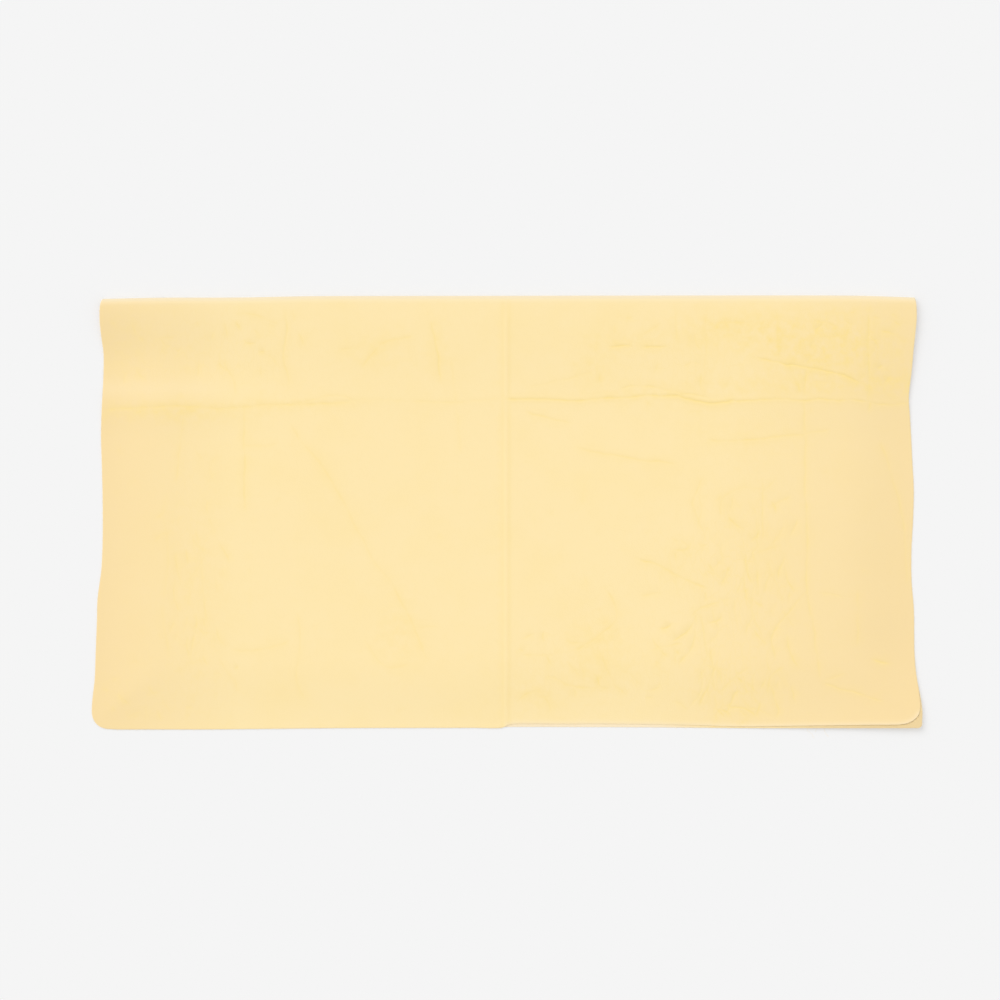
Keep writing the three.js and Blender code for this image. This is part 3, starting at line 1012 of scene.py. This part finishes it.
# Its front edge is pale on the left, and on the bare right it carries the upper leaf's shadow, painted
# tan
UNDER_PALE_WIDTH = 4
UNDER_PALE_FADES_PX = (650, 720)
UNDER_SHADOW_WIDTH = 7
UNDER_SHADOW_GROWS_PX = (750, 850)
UNDER_SHADOW_FROM_UPPER = (0.2, 1.0)


def tucked(edge, tuck):
    """A side edge drawn inwards by nothing at the fold and by the whole tuck at the front."""
    away = edge[:, 1].max() - edge[:, 1]
    return edge + np.stack([tuck * away / away.max(), np.zeros(len(edge))], axis=1)


under_front = smooth_line(placed(UNDER_FRONT_PX), EDGE_STEP)
under_right = right_edge[right_edge[:, 1] > under_front[-1, 1] + EDGE_STEP]
under_edge = even_steps(np.concatenate([
    tucked(left_edge, UNDER_TUCK), under_front, tucked(under_right, -UNDER_RIGHT_TUCK),
]), EDGE_STEP)
under_seam_x = roll_points[0][:, 0]
under_seam = np.stack([under_seam_x, np.full(len(under_seam_x), under_seam_y)], axis=1)


def under_shape(points):
    """The under leaf over its plan, in the same form as the upper leaf's shape."""
    x, y = points.T
    thickness = thickness_of(fullness(points, under_edge))
    ridge, ridge_tone, _ = ridges(points)
    crease, crease_tone = creased(points)
    relief = PRINT_SHARE * np.clip(ridge + crease + swells(points), 0, None)
    relief = relief * smooth_step(under_seam_y - y, *PRINTS_START)
    z = thickness / 2 + relief + UNDER_LIFT * lifted(points)
    bare, shadow = [smooth_step(x, *x_at(px)) for px in (UNDER_PALE_FADES_PX, UNDER_SHADOW_GROWS_PX)]
    # Pale on the left: partly a paler cut edge, partly painted light against the step's shade
    pale, tan = [
        smooth_step(width - from_edge(points, under_front), 0, width / 2)
        for width in (UNDER_PALE_WIDTH, UNDER_SHADOW_WIDTH)
    ]
    tones = {
        "crease": PRINT_SHARE * np.maximum(ridge_tone, crease_tone),
        "pale": pale * (1 - bare),
        # The upper leaf's shadow, painted on the bare strip next to its edge
        "shadow": tan * shadow * smooth_step(from_edge(points, upper_edge), *UNDER_SHADOW_FROM_UPPER),
        **handled(points),
    }
    along = FLAT_LENGTH + ROLL_LENGTH + under_seam_y - y
    return np.column_stack([points, z]), straight_up(points), thickness, along, tones


under_leaf = leaf("under_sheet", under_edge, under_seam, UNDER_BEND, [
    (rows_inside(under_seam, FORWARDS, NEAR_SEAM), 0.8),
    (rows_inside(under_edge, left_normals(under_edge), NEAR_EDGE), 0.8),
    (rows_beside(long_creases, (0, 1), 1.2), 0.7),
    (centre_rows, 1.4),
    (lattice(box_low, box_high, UNDER_BASE_STEP), 2.2),
], under_shape)
under_leaf.data.materials.append(chamois)
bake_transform(under_leaf)
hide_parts("under_leaf", "under_strip")

# The fibres of the cut edges
# A knife leaves the ends of the skin's fibres standing out of the edge as a fine fuzz. Each is a
# bent three sided thread, rooted inside the rim, and a few long ones have worked loose.

FIBRE_LENGTH = 0.6
FIBRE_WIDTH = 0.05
FIBRE_SPACING = 0.6
FIBRE_SPREAD = 0.9
FIBRE_RISE = 0.8
FIBRE_ROOT = 0.15
FIBRE_BEND = 0.3
FIBRE_SIZES = (0.75, 1.25)
FIBRE_SIZE_POWER = 3


def fibre_tree():
    """Geometry nodes that set fibres along a line of edges that knows its outward direction."""
    tree = bpy.data.node_groups.new("edge_fibres", "GeometryNodeTree")
    kinds = {
        "Edge": "Geometry", "Spacing": "Float", "Length": "Float", "Width": "Float",
        "Spread": "Float", "Root": "Float", "Bend": "Float", "Seed": "Int", "Material": "Material",
    }
    for name, kind in kinds.items():
        tree.interface.new_socket(name, in_out="INPUT", socket_type="NodeSocket" + kind)
    tree.interface.new_socket("Fibres", in_out="OUTPUT", socket_type="NodeSocketGeometry")
    given = add_node(tree, "NodeGroupInput").outputs

    rim = add_node(tree, "GeometryNodeMeshToCurve", {"Mesh": given["Edge"]})
    roots = add_node(tree, "GeometryNodeCurveToPoints", {
        "Curve": rim, "Length": given["Spacing"]}, mode="LENGTH")
    scatter = add_node(tree, "FunctionNodeRandomValue", {
        0: (-1, -1, 0), 1: (1, 1, FIBRE_RISE), "Seed": given["Seed"]}, data_type="FLOAT_VECTOR")
    scatter = add_node(tree, "ShaderNodeVectorMath", {
        0: scatter, "Scale": given["Spread"]}, operation="SCALE")
    outward = add_node(tree, "GeometryNodeInputNamedAttribute", {
        "Name": "outward"}, data_type="FLOAT_VECTOR")
    heading = add_node(tree, "ShaderNodeVectorMath", {0: outward, 1: scatter}, operation="ADD")
    turned = add_node(tree, "FunctionNodeAlignRotationToVector", {"Vector": heading}, axis="Z")
    turned = add_node(tree, "FunctionNodeAlignRotationToVector", {
        "Rotation": turned, "Vector": (0, 0, 1)}, axis="X", pivot_axis="Z")

    thread = add_node(tree, "GeometryNodeCurveQuadraticBezier", {"Resolution": 3})
    length = given["Length"]
    for end, share, bend in (("Start", given["Root"], 0), ("Middle", 0.5, given["Bend"]), ("End", 1, 0)):
        at = add_node(tree, "ShaderNodeCombineXYZ", {
            "X": calculate(tree, "MULTIPLY", bend, length),
            "Z": calculate(tree, "MULTIPLY", share, length)})
        tree.links.new(at.outputs[0], thread.inputs[end])
    section = add_node(tree, "GeometryNodeCurvePrimitiveCircle", {
        "Resolution": 3, "Radius": calculate(tree, "MULTIPLY", given["Width"], 0.5)})
    thread = add_node(tree, "GeometryNodeCurveToMesh", {
        "Curve": thread, "Profile Curve": section, "Fill Caps": True})

    size = add_node(tree, "FunctionNodeRandomValue", {
        2: FIBRE_SIZES[0], 3: FIBRE_SIZES[1], "Seed": given["Seed"]}, data_type="FLOAT")
    size = calculate(tree, "POWER", size.outputs[1], FIBRE_SIZE_POWER)
    fibres = add_node(tree, "GeometryNodeInstanceOnPoints", {
        "Points": roots, "Instance": thread, "Rotation": turned, "Scale": size})
    fibres = add_node(tree, "GeometryNodeRealizeInstances", {"Geometry": fibres})
    fibres = add_node(tree, "GeometryNodeSetMaterial", {
        "Geometry": fibres, "Material": given["Material"]})
    add_node(tree, "NodeGroupOutput", {"Fibres": fibres})
    return tree


fibre_nodes = fibre_tree()


def plain_mesh(piece):
    """What a piece's modifiers, or its curve, make of it."""
    return bpy.data.meshes.new_from_object(piece.evaluated_get(bpy.context.evaluated_depsgraph_get()))


def edge_fibres(name, sheet, seed):
    """The fibres of one piece's rim, as a plain mesh."""
    places, outward, sheet_place, links = rim_lines[sheet.name]
    line = bpy.data.meshes.new(name)
    line.from_pydata(places.tolist(), links, [])
    give(line, "outward", outward)
    give(line, "sheet_place", sheet_place)
    give(line, "pale", np.ones(len(places)))
    fuzz = new_piece(name, line)
    modifier = fuzz.modifiers.new("edge_fibres", "NODES")
    modifier.node_group = fibre_nodes
    values = {
        "Spacing": FIBRE_SPACING * MM, "Length": FIBRE_LENGTH * MM, "Width": FIBRE_WIDTH * MM,
        "Spread": FIBRE_SPREAD, "Root": -FIBRE_ROOT, "Bend": FIBRE_BEND, "Seed": seed,
        "Material": chamois,
    }
    for item in fibre_nodes.interface.items_tree:
        if item.name in values:
            modifier[item.identifier] = values[item.name]
    fuzz.data = plain_mesh(fuzz)
    fuzz.modifiers.clear()
    return fuzz


upper_fibres = edge_fibres("upper_fibres", upper_leaf, 3)
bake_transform(upper_fibres)
roll_fibres = edge_fibres("roll_fibres", fold_roll, 4)
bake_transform(roll_fibres)
under_fibres = edge_fibres("under_fibres", under_leaf, 5)
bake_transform(under_fibres)

# Three loose fibres hang out of the front edge, given in pixels of the photograph with their height
STRAY_FIBRES = [
    [(809, 724.5, 2.2), (807.5, 728, 1.6), (808, 731, 0.6), (812, 734, 0.2), (814, 738, 0.15)],
    [(815, 724.5, 2.2), (816.5, 728.5, 1.6), (815.5, 732, 0.5)],
    [(826, 724.5, 2.3), (824.5, 729, 1.7), (825.5, 733, 0.5), (829, 737, 0.15)],
]
STRAY_WIDTH = 0.11
STRAY_STEP = 0.4
strays = bpy.data.curves.new("stray_fibres", "CURVE")
strays.dimensions = "3D"
strays.bevel_depth = STRAY_WIDTH / 2 * MM
strays.bevel_resolution = 1
strays.use_fill_caps = True
for points in STRAY_FIBRES:
    places = np.column_stack([placed([(x, y) for x, y, _ in points]), [z for _, _, z in points]])
    places = smooth_line(places, STRAY_STEP) * MM
    thread = strays.splines.new("POLY")
    thread.points.add(len(places) - 1)
    thread.points.foreach_set("co", np.column_stack([places, np.ones(len(places))]).ravel())
stray_curve = new_piece("stray_curve", strays)
stray_mesh = plain_mesh(stray_curve)
bpy.data.objects.remove(stray_curve)
stray_fibres = new_piece("stray_fibres", stray_mesh)
welded = bmesh.new()
welded.from_mesh(stray_mesh)
bmesh.ops.remove_doubles(welded, verts=welded.verts, dist=STRAY_WIDTH / 100 * MM)
welded.to_mesh(stray_mesh)
welded.free()
stray_count = len(stray_mesh.vertices)
stray_places = np.zeros(stray_count * 3)
stray_mesh.vertices.foreach_get("co", stray_places)
give(stray_mesh, "sheet_place", stray_places.reshape(-1, 3))
give(stray_mesh, "pale", np.ones(stray_count))
stray_mesh.materials.append(chamois)
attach(stray_fibres, "upper_leaf")

# The table
# A plain pale matt table top. To the camera it shows only a part of its shade, as under a light tent.

PAPER = "F5F5F5"
TABLE_SIZE = 6
TABLE_DROP = 0.00005
SHADE_SHOWN = 0.5
half = TABLE_SIZE / 2
table_mesh = bpy.data.meshes.new("table")
table_mesh.from_pydata(
    [(x, y, -TABLE_DROP) for x, y in ((-half, -half), (half, -half), (half, half), (-half, half))],
    [], [(0, 1, 2, 3)])
table = new_piece("table", table_mesh)
paint = bpy.data.materials.new("matt_paint")
paint.use_nodes = True
paint_tree = paint.node_tree
paint_tree.nodes.clear()


def seen_directly(tree):
    """1 for what the camera sees, also in a mirror or through glass, and 0 for the light itself."""
    ray = add_node(tree, "ShaderNodeLightPath").outputs
    mirrored = calculate(tree, "MAXIMUM", ray["Is Camera Ray"], ray["Is Glossy Ray"])
    return calculate(tree, "MAXIMUM", mirrored, ray["Is Transmission Ray"])


plain_share = calculate(paint_tree, "MULTIPLY", seen_directly(paint_tree), 1 - SHADE_SHOWN)
shaded = add_node(paint_tree, "ShaderNodeBsdfDiffuse", {"Color": hex_colour(PAPER)})
plain = add_node(paint_tree, "ShaderNodeEmission", {"Color": hex_colour(PAPER), "Strength": 1})
shown = add_node(paint_tree, "ShaderNodeMixShader", {0: plain_share, 1: shaded, 2: plain})
add_node(paint_tree, "ShaderNodeOutputMaterial", {"Surface": shown})
table_mesh.materials.append(paint)

# The room and the lamp
# A pale room and one big soft lamp at the upper left, which together give a flat sheet the level 1.

ROOM_LEVEL = 0.63
LAMP_HEIGHT = 46
LAMP_AZIMUTH = 128
LAMP_SPREAD = 50
room = bpy.data.worlds.new("room")
room.use_nodes = True
room_tree = room.node_tree
room_tree.nodes.clear()
glow = add_node(room_tree, "ShaderNodeBackground", {"Color": (1, 1, 1, 1), "Strength": ROOM_LEVEL})
wall = add_node(room_tree, "ShaderNodeBackground", {"Color": hex_colour(PAPER), "Strength": 1})
both = add_node(room_tree, "ShaderNodeMixShader", {0: seen_directly(room_tree), 1: glow, 2: wall})
add_node(room_tree, "ShaderNodeOutputWorld", {"Surface": both})
bpy.context.scene.world = room

lamp = bpy.data.lights.new("lamp", "SUN")
lamp.angle = math.radians(LAMP_SPREAD)
lamp.energy = math.pi * (1 - ROOM_LEVEL) / math.sin(math.radians(LAMP_HEIGHT))
lamp_holder = new_piece("lamp", lamp)
lamp_holder.rotation_euler = (0, math.radians(90 - LAMP_HEIGHT), math.radians(LAMP_AZIMUTH))

# The camera
# It looks straight down, from far enough off that the sheet's height hardly widens it.

CAMERA_HEIGHT = 2.5
PHOTO_PX = 1000
centre = placed([(PHOTO_PX / 2, PHOTO_PX / 2)])[0] * MM
camera = bpy.data.cameras.new("camera")
camera.lens = camera.sensor_width * (CAMERA_HEIGHT - UPPER_MIDDLE * MM) / (PHOTO_PX * px_mm * MM)
camera_holder = new_piece("camera", camera)
camera_holder.location = (centre[0], centre[1], CAMERA_HEIGHT)
bpy.context.scene.camera = camera_holder
bpy.context.scene.view_settings.view_transform = "Standard"
